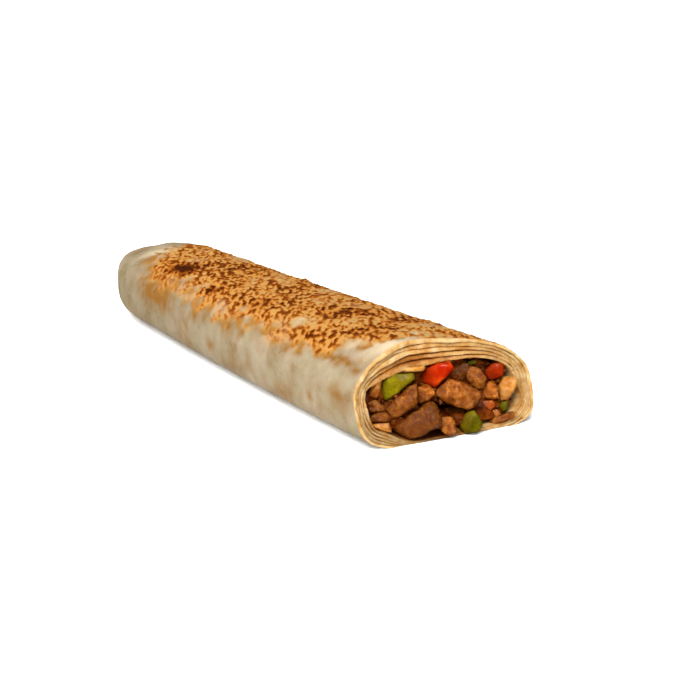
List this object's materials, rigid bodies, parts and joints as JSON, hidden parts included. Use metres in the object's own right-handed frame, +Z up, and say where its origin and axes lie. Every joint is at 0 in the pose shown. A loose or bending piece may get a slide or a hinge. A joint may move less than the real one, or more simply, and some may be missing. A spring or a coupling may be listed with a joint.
{
  "type": "lavash wrap",
  "caption": "Long rolled lavash wrap with a toasted top, cut open at one end over meat, tomato and green pepper.",
  "frame": {"origin": "bottom centre of the whole wrap's box, on the surface it rests on", "axes": "+Y along the roll, from the cut open end to the closed tucked end; +Z up; +X to the right when looking at the cut end"},
  "size_m": [0.0702, 0.2422, 0.0329],
  "materials": {
    "bread": "matt, dry, toasted on top",
    "filling": "moist",
    "meat": "moist, glazed with sauce",
    "tomato": "wet",
    "green_pepper": "wet",
    "pale_filling": "moist, soaked with sauce"
  },
  "bodies": {
    "root": {"lavash": "bread", "filling_core": "filling", "meat_strip_left": "meat", "meat_nub_left": "meat", "meat_front_low": "meat", "meat_small_low": "meat", "meat_edge_left": "meat", "meat_low_left": "meat", "meat_centre": "meat", "meat_upper": "meat", "meat_right": "meat", "meat_low_right": "meat", "meat_behind_low": "meat", "meat_behind_top": "meat", "meat_behind_right": "meat", "tomato_centre": "tomato", "tomato_right": "tomato", "tomato_low_right": "tomato", "green_pepper_left": "green_pepper", "green_pepper_low": "green_pepper", "green_sprig_right": "green_pepper", "green_strip_top": "green_pepper", "onion_left": "pale_filling", "onion_low_left": "pale_filling", "chicken_right": "pale_filling", "chicken_low_right": "pale_filling", "bread_flap_left": "bread"}
  },
  "joints": []
}
